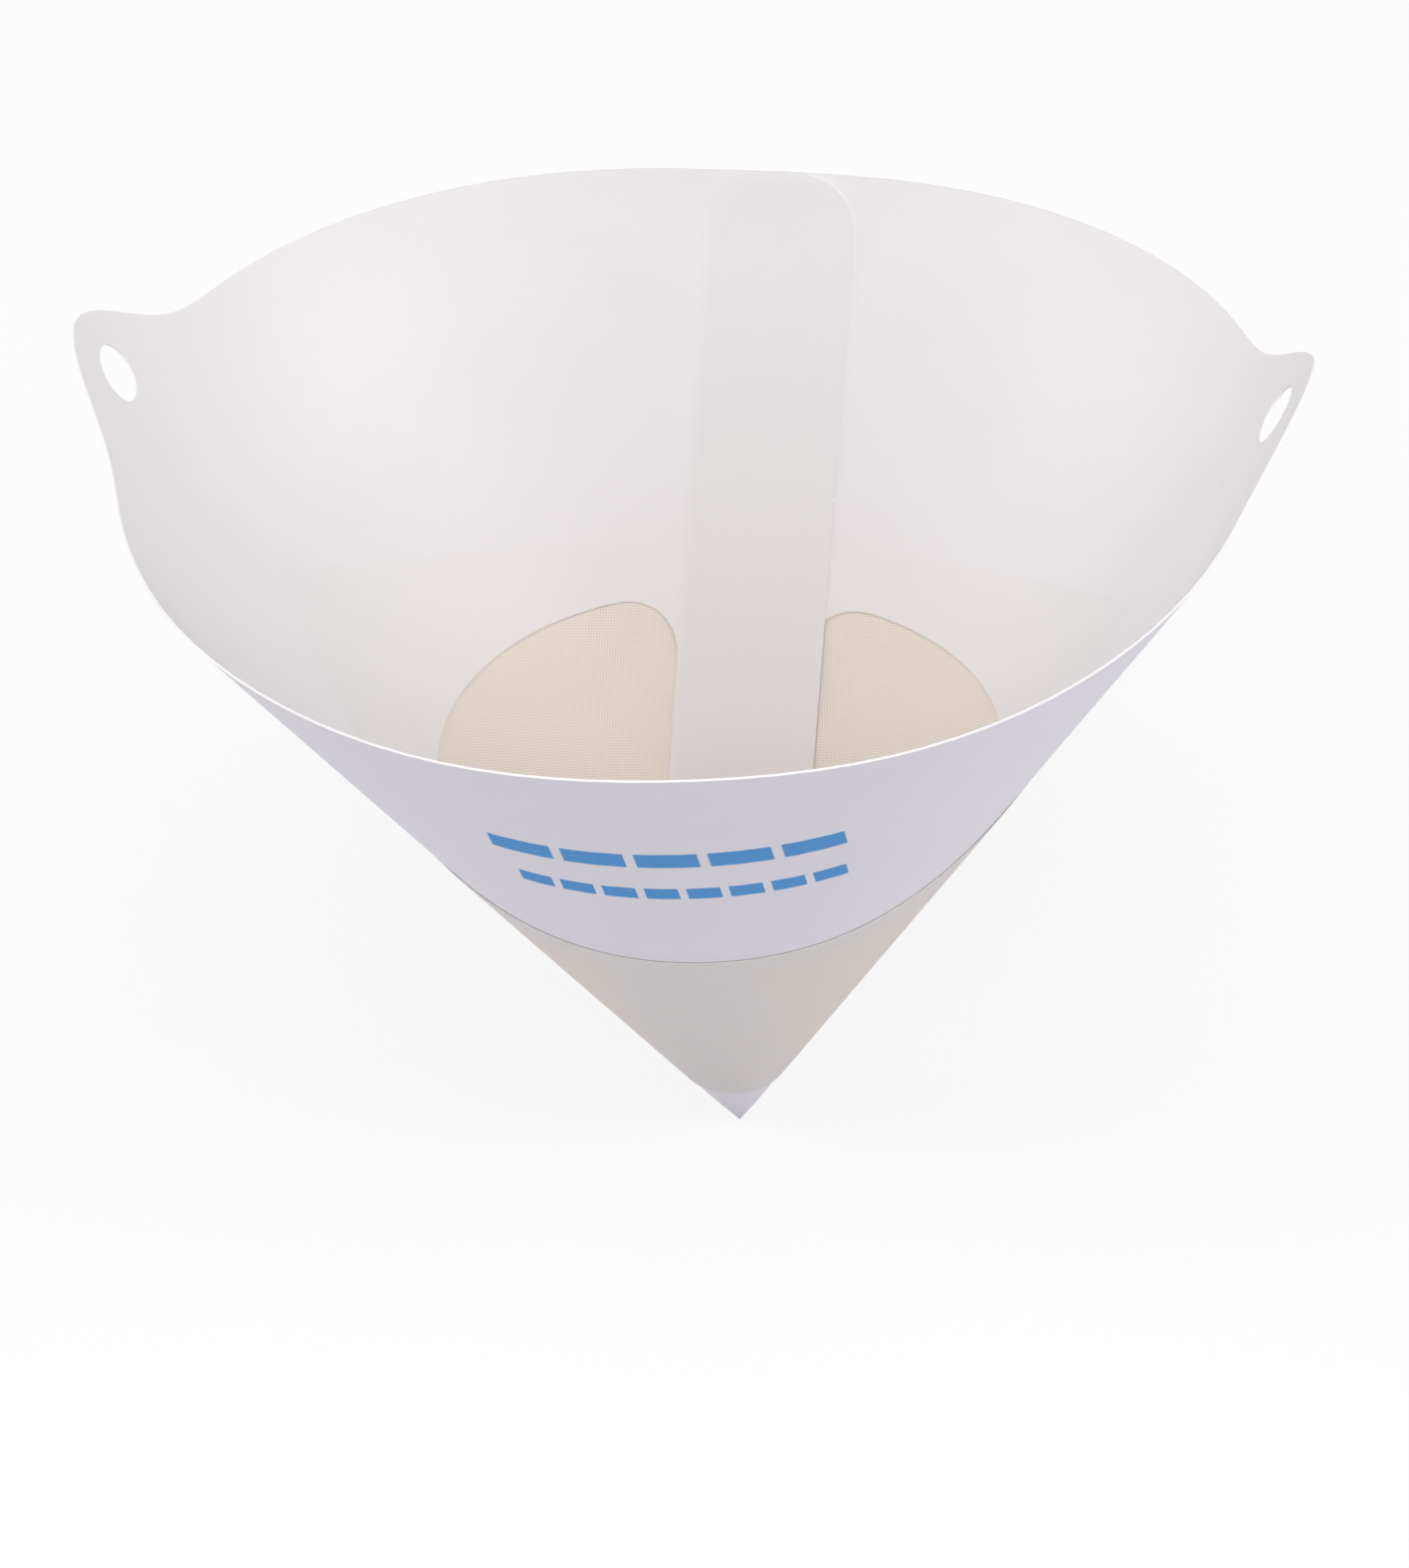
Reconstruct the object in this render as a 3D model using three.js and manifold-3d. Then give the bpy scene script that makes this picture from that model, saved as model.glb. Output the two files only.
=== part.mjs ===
// A paper strainer cone with two ears and a mesh: a flat blank, rolled up and glued along one seam.
// Millimetres, +Z up, tip down, ears along X, glued seam at +Y, tall front panel at -Y.
// The origin lies on the cone's axis, at the height where a level cup mouth holds the cone.
// A place on the sheet is a sheet angle and a radius, both measured from the tip in the flat blank.
import * as THREE from "three";
import { mergeVertices } from "three/addons/utils/BufferGeometryUtils.js";
import Module from "manifold-3d";

// Paper sheet and its rim
const PAPER_THICKNESS = 0.3;
const FRONT_RIM_RADIUS = 151.2;
const BACK_RIM_RADIUS = 129.4;
const EAR_RISE = 11.5;
const EAR_HALF_LENGTH = 34.8;
const EAR_SHARPNESS = 3;

// Half-angle of the opened cone round its axis, in radians: its mean and its waves
const OPENING_MEAN = 0.5044;
const OPENING_OVAL = 0.019;
const OPENING_SQUARE = -0.0125;
const OPENING_FRONT = 0.0242;
const OPENING_FLAT_BACK = -0.0235;

// Glued seam: the strip where the sheet lies double, with one cut end inside and one outside
const SEAM_WIDTH = 18.9;
const SEAM_OFFSET = 3.3;
const SEAM_LEAN = 0.066;
const SEAM_EASE = 10;
const SEAM_CORNER_RADIUS = 8;
const CUT_EDGE = 0.05;
const CREASE_MARGIN = 0.09;

// Windows cut in the sheet, one round each ear's crease
const WINDOW_TOP_RADIUS = 73.2;
const WINDOW_LOW_RADIUS = 18;
const WINDOW_CORNER_RADIUS = 8.5;
const WINDOW_LOW_CORNER_RADIUS = 1.5;
const FRONT_STRUT_WIDTH = 18.9;

// Mesh glued over the windows from outside
const MESH_THICKNESS = 0.2;
const MESH_CORNER_RADIUS = 109;
const MESH_LOW_RADIUS = 15;
const MESH_LAP = 2;
const MESH_JOINT = 0.8;
const GLUE_GAP = 0.3;
const PORE_SIZE = 3.9;
const PORE_PITCH = 7;
const PORE_MARGIN = 1.2;

// Holes in the ears, and the cup mouth that holds the cone
const EAR_HOLE_RADIUS = 3.8;
const EAR_HOLE_INSET = 8.8;
const CUP_MOUTH_RADIUS = 44.3;

// Facets of the model
const EAR_STEP = 2.5;
const PANEL_STEP = 6;
const MESH_STEP = 8;
const CORNER_STEPS = 5;
const SHEET_ROWS = [0.02, 0.08, 0.115, 0.135, 0.155, 0.175, 0.2, 0.23, 0.29, 0.4, 0.6];
const PATCH_ROWS = [0, 0.025, 0.05, 0.08, 0.12, 0.17, 0.25, 0.4, 0.63, 1];
const HOLE_SIDES = 28;
const CUTTER_REACH = 3;
const ARC_SAMPLES = 1440;
const SMALL_TURN = 1e-4;
const MERGE_DISTANCE = 1e-4;
const SETTLE_ROUNDS = 4;

const wasm = await Module();
wasm.setup();

// Half-angle of the cone at a turn round its axis: 0 at the left ear, a quarter turn at the front.
function openingAngle(turn) {
  return (
    OPENING_MEAN +
    OPENING_OVAL * Math.cos(2 * turn) +
    OPENING_SQUARE * Math.cos(4 * turn) +
    OPENING_FRONT * Math.sin(turn) +
    OPENING_FLAT_BACK * Math.sin(3 * turn)
  );
}

// Unit vector from the tip up along the sheet.
function ruling(turn) {
  const angle = openingAngle(turn);
  return new THREE.Vector3(
    -Math.sin(angle) * Math.cos(turn),
    -Math.sin(angle) * Math.sin(turn),
    Math.cos(angle),
  );
}

// Sheet angle used up at each sample of one whole turn.
function sheetAngleTable() {
  const table = [0];
  let last = ruling(0);
  for (let i = 1; i <= ARC_SAMPLES; i++) {
    const next = ruling((2 * Math.PI * i) / ARC_SAMPLES);
    table.push(table[i - 1] + last.angleTo(next));
    last = next;
  }
  return table;
}

const SHEET_ANGLES = sheetAngleTable();
const WHOLE_SHEET = SHEET_ANGLES[ARC_SAMPLES];
const LEFT_CREASE = WHOLE_SHEET;
const RIGHT_CREASE = SHEET_ANGLES[ARC_SAMPLES / 2];
const FRONT_MIDDLE = RIGHT_CREASE / 2;
const BACK_MIDDLE = (RIGHT_CREASE + LEFT_CREASE) / 2;
const SEAM_ANGLE = BACK_MIDDLE - SEAM_LEAN;
const TIP_DEPTH = PAPER_THICKNESS / Math.sin(OPENING_MEAN);
const SEAT_HEIGHT = CUP_MOUTH_RADIUS / Math.tan(openingAngle(0));

// Sheet angle brought back to the range of one turn.
function wrapped(sheetAngle) {
  return THREE.MathUtils.euclideanModulo(sheetAngle, WHOLE_SHEET);
}

// Turn round the axis at which a sheet angle lies.
function turnAt(sheetAngle) {
  const wanted = wrapped(sheetAngle);
  let low = 0;
  let high = ARC_SAMPLES;
  while (high - low > 1) {
    const middle = (low + high) >> 1;
    if (SHEET_ANGLES[middle] <= wanted) low = middle;
    else high = middle;
  }
  const share = (wanted - SHEET_ANGLES[low]) / (SHEET_ANGLES[high] - SHEET_ANGLES[low]);
  return (2 * Math.PI * (low + share)) / ARC_SAMPLES;
}

// Outward normal of the sheet along one ruling.
function outward(turn) {
  return ruling(turn + SMALL_TURN)
    .sub(ruling(turn - SMALL_TURN))
    .cross(ruling(turn))
    .normalize();
}

// Point at a place on the sheet, moved out from the inner face by an offset.
function sheetPoint(sheetAngle, radius, offset) {
  const turn = turnAt(sheetAngle);
  return ruling(turn).multiplyScalar(radius).addScaledVector(outward(turn), offset);
}

// Length of the ear's rise at a distance along the rim from its crease.
function earRise(distance) {
  if (Math.abs(distance) >= EAR_HALF_LENGTH) return 0;
  const bell = (1 + Math.cos((Math.PI * distance) / EAR_HALF_LENGTH)) / 2;
  return EAR_RISE * bell ** EAR_SHARPNESS;
}

// Radius of the rim: a tall front, a low back and an ear at each crease.
function rimRadius(sheetAngle) {
  const mean = (FRONT_RIM_RADIUS + BACK_RIM_RADIUS) / 2;
  const swing = (FRONT_RIM_RADIUS - BACK_RIM_RADIUS) / 2;
  const place = wrapped(sheetAngle);
  const fromLeft = Math.min(place, WHOLE_SHEET - place);
  const fromRight = Math.abs(place - RIGHT_CREASE);
  return (
    mean +
    swing * Math.sin(turnAt(sheetAngle)) +
    earRise(fromLeft * mean) +
    earRise(fromRight * mean)
  );
}

// Upper edge of the mesh, straight across each panel and highest at the creases.
function meshEdgeRadius(sheetAngle) {
  const place = wrapped(sheetAngle);
  const onFront = place < RIGHT_CREASE;
  const middle = onFront ? FRONT_MIDDLE : BACK_MIDDLE;
  const halfPanel = onFront ? FRONT_MIDDLE : LEFT_CREASE - BACK_MIDDLE;
  return (MESH_CORNER_RADIUS * Math.cos(halfPanel)) / Math.cos(place - middle);
}

// Straight line along the seam: the sheet angle where it crosses a radius, short of the creases.
function seamLine(acrossSeam, radius) {
  const sine = THREE.MathUtils.clamp((SEAM_OFFSET + acrossSeam) / radius, -1, 1);
  return THREE.MathUtils.clamp(
    SEAM_ANGLE + Math.asin(sine),
    RIGHT_CREASE + CREASE_MARGIN,
    LEFT_CREASE - CREASE_MARGIN,
  );
}

const flapLine = (radius) => seamLine(-SEAM_WIDTH / 2, radius);
const lapLine = (radius) => seamLine(SEAM_WIDTH / 2, radius);

// Line beside the front middle: the sheet angle where it crosses a radius.
function strutLine(side, radius) {
  return FRONT_MIDDLE + side * Math.asin(FRONT_STRUT_WIDTH / 2 / radius);
}

// Radius a column reaches where its upper end is given as a function of the sheet angle.
function reachOf(column, radiusAt) {
  let radius = radiusAt(BACK_MIDDLE);
  for (let i = 0; i < SETTLE_ROUNDS; i++) radius = radiusAt(column.angle(radius));
  return radius;
}

// Drop of a rounded corner at a distance from the side that it starts from.
function cornerDrop(distance, cornerRadius) {
  if (distance >= cornerRadius) return 0;
  return cornerRadius - Math.sqrt(cornerRadius ** 2 - (cornerRadius - distance) ** 2);
}

// Distances from a side, close together where its corner turns.
function cornerDistances(cornerRadius) {
  const step = Math.PI / 2 / CORNER_STEPS;
  return Array.from({ length: CORNER_STEPS + 1 }, (_, i) => cornerRadius * (1 - Math.cos(step * i)));
}

// Shares of a stretch of the sheet: fine near a crease at either end, wider between.
function stretchShares(length, step, creaseAtStart, creaseAtEnd) {
  const fineSteps = Math.floor(EAR_HALF_LENGTH / EAR_STEP);
  const fine = Array.from({ length: fineSteps + 1 }, (_, i) => i * EAR_STEP);
  const start = creaseAtStart ? fine : [0];
  const end = (creaseAtEnd ? fine : [0]).map((distance) => length - distance).reverse();
  const open = end[0] - start.at(-1);
  const steps = Math.max(1, Math.round(open / step));
  const between = [];
  for (let i = 1; i < steps; i++) between.push(start.at(-1) + (open * i) / steps);
  return [...start, ...between, ...end].map((distance) => distance / length);
}

// Columns of the sheet between two lines, as a list of lines with the offsets of both faces.
function columnsBetween(fromLine, toLine, shares, inner, outer) {
  return shares.map((share) => ({
    angle: (radius) => THREE.MathUtils.lerp(fromLine(radius), toLine(radius), share),
    inner,
    outer,
    innerDrop: 0,
    outerDrop: 0,
  }));
}

// Plain single sheet from the left crease over the front to the flap edge.
function singleColumns() {
  const leftCrease = () => 0;
  const rightCrease = () => RIGHT_CREASE;
  const beforeFlap = (radius) => flapLine(radius) - CUT_EDGE / radius;
  const frontLength = RIGHT_CREASE * FRONT_RIM_RADIUS;
  const backLength = (flapLine(BACK_RIM_RADIUS) - RIGHT_CREASE) * BACK_RIM_RADIUS;
  const front = stretchShares(frontLength, PANEL_STEP, true, true);
  const back = stretchShares(backLength, PANEL_STEP, true, false).slice(1);
  return [
    ...columnsBetween(leftCrease, rightCrease, front, 0, PAPER_THICKNESS),
    ...columnsBetween(rightCrease, beforeFlap, back, 0, PAPER_THICKNESS),
  ];
}

// Double sheet across the seam, with a rounded corner on each layer's cut end.
function seamColumns() {
  const corner = cornerDistances(SEAM_CORNER_RADIUS);
  const distances = [...corner, ...corner.map((distance) => SEAM_WIDTH - distance).reverse()];
  const shares = distances.map((distance) => distance / SEAM_WIDTH);
  const columns = columnsBetween(flapLine, lapLine, shares, -PAPER_THICKNESS, PAPER_THICKNESS);
  columns.forEach((column, i) => {
    column.innerDrop = cornerDrop(distances[i], SEAM_CORNER_RADIUS);
    column.outerDrop = cornerDrop(SEAM_WIDTH - distances[i], SEAM_CORNER_RADIUS);
  });
  return columns;
}

// Sheet left of the seam: it comes out from under the outer layer and eases back outwards.
function easedColumns(step, fineAtCrease) {
  const afterLap = (radius) => lapLine(radius) + CUT_EDGE / radius;
  const leftCrease = () => LEFT_CREASE;
  const length = (LEFT_CREASE - lapLine(BACK_RIM_RADIUS)) * BACK_RIM_RADIUS;
  const shares = stretchShares(length, step, false, fineAtCrease).slice(0, -1);
  return columnsBetween(afterLap, leftCrease, shares, 0, PAPER_THICKNESS).map((column, i) => {
    const ease = Math.max(0, 1 - (shares[i] * length) / SEAM_EASE);
    const sunk = PAPER_THICKNESS * ease * ease * (3 - 2 * ease);
    return { ...column, inner: -sunk, outer: PAPER_THICKNESS - sunk };
  });
}

// Closed geometry skinned over loops of points, one loop for each column.
function skinned(loops, closed) {
  const corners = [];
  const quad = (a, b, c, d) => corners.push(a, b, c, a, c, d);
  const last = closed ? loops.length : loops.length - 1;
  for (let i = 0; i < last; i++) {
    const here = loops[i];
    const next = loops[(i + 1) % loops.length];
    here.forEach((point, j) => {
      const k = (j + 1) % here.length;
      quad(point, here[k], next[k], next[j]);
    });
  }
  if (!closed) {
    const first = loops[0];
    const end = loops.at(-1);
    for (let j = 0; j + 1 < first.length / 2; j++) {
      const mirror = first.length - 1 - j;
      quad(first[mirror], first[mirror - 1], first[j + 1], first[j]);
      quad(end[j], end[j + 1], end[mirror - 1], end[mirror]);
    }
  }
  return new THREE.BufferGeometry().setFromPoints(corners);
}

// Solid from a geometry: vertices merged, and triangles that closed up left out.
function solidOf(geometry) {
  const bare = geometry.index ? geometry.toNonIndexed() : geometry.clone();
  bare.deleteAttribute("normal");
  bare.deleteAttribute("uv");
  const merged = mergeVertices(bare, MERGE_DISTANCE);
  const triangles = [];
  for (let i = 0; i < merged.index.count; i += 3) {
    const [a, b, c] = [0, 1, 2].map((k) => merged.index.getX(i + k));
    if (a !== b && b !== c && c !== a) triangles.push(a, b, c);
  }
  return new wasm.Manifold(
    new wasm.Mesh({
      numProp: 3,
      vertProperties: merged.getAttribute("position").array,
      triVerts: new Uint32Array(triangles),
    }),
  );
}

// Geometry of a solid, with flat facets.
function geometryOf(solid) {
  const mesh = solid.getMesh();
  const geometry = new THREE.BufferGeometry();
  geometry.setAttribute("position", new THREE.BufferAttribute(mesh.vertProperties, mesh.numProp));
  geometry.setIndex(new THREE.BufferAttribute(mesh.triVerts, 1));
  geometry.computeVertexNormals();
  return geometry;
}

// Loop of the sheet's section along one column, from the tip up the inner face and down the outer.
function sheetLoop(column) {
  const reach = reachOf(column, rimRadius);
  const innerTop = reach - column.innerDrop;
  const outerTop = reach - column.outerDrop;
  const at = (radius, offset) => sheetPoint(column.angle(radius), radius, offset);
  const innerFace = SHEET_ROWS.map((share) => at(share * reach, column.inner));
  const outerFace = SHEET_ROWS.map((share) => at(share * reach, column.outer)).reverse();
  const between = Math.min(0, column.outer);
  return [
    new THREE.Vector3(0, 0, TIP_DEPTH),
    ...innerFace,
    at(innerTop, column.inner),
    at(innerTop, between),
    at(outerTop, between),
    at(outerTop, column.outer),
    ...outerFace,
    new THREE.Vector3(0, 0, -TIP_DEPTH),
  ];
}

// Loop of a patch's section along one column, between two radii.
function patchLoop(column, lowRadius, topRadius) {
  const at = (share, offset) => {
    const radius = THREE.MathUtils.lerp(lowRadius, topRadius, share);
    return sheetPoint(column.angle(radius), radius, offset);
  };
  return [
    ...PATCH_ROWS.map((share) => at(share, column.inner)),
    ...PATCH_ROWS.map((share) => at(share, column.outer)).reverse(),
  ];
}

// Lines that a window lies between, with its sheet angle growing from the first to the second.
function windowLines(side) {
  if (side < 0) return [lapLine, (radius) => WHOLE_SHEET + strutLine(-1, radius)];
  return [(radius) => strutLine(1, radius), flapLine];
}

// Cutter for one window, with rounded corners.
function windowCutter(side) {
  const [fromLine, toLine] = windowLines(side);
  const length = (toLine(WINDOW_TOP_RADIUS) - fromLine(WINDOW_TOP_RADIUS)) * WINDOW_TOP_RADIUS;
  const corner = cornerDistances(WINDOW_CORNER_RADIUS);
  const steps = Math.round(length / PANEL_STEP);
  const open = length - 2 * WINDOW_CORNER_RADIUS;
  const between = [];
  for (let i = 1; i < steps; i++) between.push(WINDOW_CORNER_RADIUS + (open * i) / steps);
  const distances = [...corner, ...between, ...corner.map((distance) => length - distance).reverse()];
  const shares = distances.map((distance) => distance / length);
  const columns = columnsBetween(fromLine, toLine, shares, -CUTTER_REACH, CUTTER_REACH);
  const lowScale = WINDOW_LOW_CORNER_RADIUS / WINDOW_CORNER_RADIUS;
  const loops = columns.map((column, i) => {
    const drop = cornerDrop(Math.min(distances[i], length - distances[i]), WINDOW_CORNER_RADIUS);
    return patchLoop(column, WINDOW_LOW_RADIUS + drop * lowScale, WINDOW_TOP_RADIUS - drop);
  });
  return solidOf(skinned(loops, false));
}

// Cutter for the round hole of one ear, square to the sheet at its crease.
function earHoleCutter(crease) {
  const geometry = new THREE.CylinderGeometry(
    EAR_HOLE_RADIUS,
    EAR_HOLE_RADIUS,
    2 * CUTTER_REACH,
    HOLE_SIDES,
  );
  const normal = outward(turnAt(crease));
  const turned = new THREE.Quaternion().setFromUnitVectors(THREE.Object3D.DEFAULT_UP, normal);
  geometry.applyQuaternion(turned);
  const centre = sheetPoint(crease, rimRadius(crease) - EAR_HOLE_INSET, 0);
  geometry.translate(centre.x, centre.y, centre.z);
  return solidOf(geometry);
}

// The folded sheet with its windows and ear holes.
function paperCone() {
  const columns = [...singleColumns(), ...seamColumns(), ...easedColumns(PANEL_STEP, true)];
  return solidOf(skinned(columns.map(sheetLoop), true))
    .subtract(windowCutter(-1))
    .subtract(windowCutter(1))
    .subtract(earHoleCutter(LEFT_CREASE))
    .subtract(earHoleCutter(RIGHT_CREASE));
}

// Columns of the mesh on the outer face of the sheet, from its joint on the seam round to it again.
function meshColumns() {
  const besideLap = (distance) => (radius) => lapLine(radius) - distance / radius;
  const leftCrease = () => LEFT_CREASE;
  const rightCrease = () => WHOLE_SHEET + RIGHT_CREASE;
  const joint = (radius) => WHOLE_SHEET + besideLap(MESH_LAP + MESH_JOINT)(radius);
  const frontShares = stretchShares(RIGHT_CREASE * MESH_CORNER_RADIUS, MESH_STEP, false, false);
  const backLength = (joint(MESH_CORNER_RADIUS) - rightCrease()) * MESH_CORNER_RADIUS;
  const backShares = stretchShares(backLength, MESH_STEP, false, false).slice(1);
  return [
    ...columnsBetween(besideLap(MESH_LAP), besideLap(CUT_EDGE), [0, 1], 0, PAPER_THICKNESS),
    ...easedColumns(MESH_STEP, false),
    ...columnsBetween(leftCrease, rightCrease, frontShares, 0, PAPER_THICKNESS),
    ...columnsBetween(rightCrease, joint, backShares, 0, PAPER_THICKNESS),
  ].map((column) => ({
    angle: column.angle,
    inner: column.outer + GLUE_GAP,
    outer: column.outer + GLUE_GAP + MESH_THICKNESS,
  }));
}

// Whether a square pore at a place from a crease lies clear inside a window.
function insideWindow(side, corners) {
  const [fromLine, toLine] = windowLines(side);
  return corners.every(([sheetAngle, radius]) => {
    const fromSides = [sheetAngle - fromLine(radius), toLine(radius) - sheetAngle];
    const distance = Math.min(...fromSides) * radius;
    const drop = cornerDrop(Math.max(0, distance), WINDOW_CORNER_RADIUS);
    return (
      distance > PORE_MARGIN &&
      radius > WINDOW_LOW_RADIUS + PORE_MARGIN &&
      radius < WINDOW_TOP_RADIUS - drop - PORE_MARGIN
    );
  });
}

// Place on the sheet of a point measured along and across a crease.
function fromCrease(crease, across, along) {
  return [crease + Math.atan2(across, along), Math.hypot(across, along)];
}

// Cutter for one pore, a square with its sides along and across the crease.
function poreCutter(corners) {
  const [low, high] = [-CUTTER_REACH, CUTTER_REACH].map((offset) =>
    corners.map(([sheetAngle, radius]) => sheetPoint(sheetAngle, radius, offset)),
  );
  return solidOf(skinned([low, high], false));
}

// Cutters for all pores of one window.
function poreCutters(side) {
  const crease = side < 0 ? LEFT_CREASE : RIGHT_CREASE;
  const half = PORE_SIZE / 2;
  const cutters = [];
  const reach = Math.ceil(WINDOW_TOP_RADIUS / PORE_PITCH);
  for (let row = 0; row < reach; row++) {
    for (let column = -reach; column < reach; column++) {
      const across = (column + 0.5) * PORE_PITCH;
      const along = (row + 0.5) * PORE_PITCH;
      const corners = [
        fromCrease(crease, across - half, along - half),
        fromCrease(crease, across + half, along - half),
        fromCrease(crease, across + half, along + half),
        fromCrease(crease, across - half, along + half),
      ];
      if (insideWindow(side, corners)) cutters.push(poreCutter(corners));
    }
  }
  return cutters;
}

// The mesh with its pores.
function meshGauze() {
  const loops = meshColumns().map((column) =>
    patchLoop(column, MESH_LOW_RADIUS, reachOf(column, meshEdgeRadius)),
  );
  const pores = [...poreCutters(-1), ...poreCutters(1)].reduce((all, pore) => all.add(pore));
  return solidOf(skinned(loops, false)).subtract(pores);
}

// Named mesh of one solid.
function piece(name, solid, color, roughness) {
  const material = new THREE.MeshStandardMaterial({ color, roughness, metalness: 0, flatShading: true });
  const mesh = new THREE.Mesh(geometryOf(solid), material);
  mesh.name = name;
  return mesh;
}

const strainer = new THREE.Group();
strainer.name = "mesh_strainer_cone";
strainer.add(piece("paper_cone", paperCone(), 0xece8e9, 0.85));
strainer.add(piece("mesh_gauze", meshGauze(), 0xe2d6cb, 0.9));
strainer.position.z = -SEAT_HEIGHT;

export default strainer;
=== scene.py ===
"""Dresses the paper strainer cone: bends the cut paper blank and its gauze into place, and lights them."""

import logging
import math
from bisect import bisect_right
from dataclasses import dataclass, field
from enum import Enum
from typing import Any, Callable

import bmesh
import bpy
from mathutils import Matrix, Vector


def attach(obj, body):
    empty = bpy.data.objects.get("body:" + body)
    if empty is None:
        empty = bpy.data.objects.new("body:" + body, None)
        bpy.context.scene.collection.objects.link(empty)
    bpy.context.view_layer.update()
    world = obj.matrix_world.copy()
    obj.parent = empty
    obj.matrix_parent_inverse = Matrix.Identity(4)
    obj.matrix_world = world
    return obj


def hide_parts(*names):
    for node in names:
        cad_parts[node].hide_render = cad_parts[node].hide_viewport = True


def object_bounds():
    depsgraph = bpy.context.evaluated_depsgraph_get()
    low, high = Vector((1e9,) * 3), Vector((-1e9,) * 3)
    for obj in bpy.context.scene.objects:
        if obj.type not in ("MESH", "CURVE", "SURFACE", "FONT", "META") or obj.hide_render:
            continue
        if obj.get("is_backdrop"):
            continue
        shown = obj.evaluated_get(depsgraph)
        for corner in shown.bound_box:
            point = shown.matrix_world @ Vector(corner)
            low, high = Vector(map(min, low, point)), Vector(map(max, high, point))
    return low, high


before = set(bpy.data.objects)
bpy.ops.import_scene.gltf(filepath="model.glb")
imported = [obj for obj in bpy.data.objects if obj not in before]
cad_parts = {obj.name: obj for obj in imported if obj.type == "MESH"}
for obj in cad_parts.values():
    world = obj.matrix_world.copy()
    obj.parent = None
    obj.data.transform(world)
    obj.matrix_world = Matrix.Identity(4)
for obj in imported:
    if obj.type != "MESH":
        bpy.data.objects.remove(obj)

LOG = logging.getLogger("strainer")
MM = 0.001
MERGE_DISTANCE = 1e-6
SETTLE_ROUNDS = 4
PAPER_LAYER = 0.28 * MM
GAUZE_LAYER = 0.12 * MM
LAMP_WHITE = (1.0, 0.985, 0.98)

Place = tuple[float, float]
Colour = tuple[float, float, float, float]


class Side(Enum):
    """Which of the two windows, named by the ear that it lies round."""

    LEFT = -1
    RIGHT = 1


class Face(Enum):
    """Faces of the paper, in the order of its material slots."""

    INSIDE = 0
    OUTSIDE = 1
    CUT_EDGE = 2


def srgb(red: float, green: float, blue: float) -> Colour:
    """Scene colour of a colour as a screen shows it.

    Args:
        red: Red from 0 to 255.
        green: Green from 0 to 255.
        blue: Blue from 0 to 255.

    Returns:
        The linear colour, with an alpha of 1.
    """

    def linear(value: float) -> float:
        share = value / 255
        return share / 12.92 if share <= 0.04045 else ((share + 0.055) / 1.055) ** 2.4

    return (linear(red), linear(green), linear(blue), 1.0)


def smooth(share: float) -> float:
    """Share from 0 to 1, with soft ends."""
    held = min(1.0, max(0.0, share))
    return held * held * (3 - 2 * held)


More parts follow.
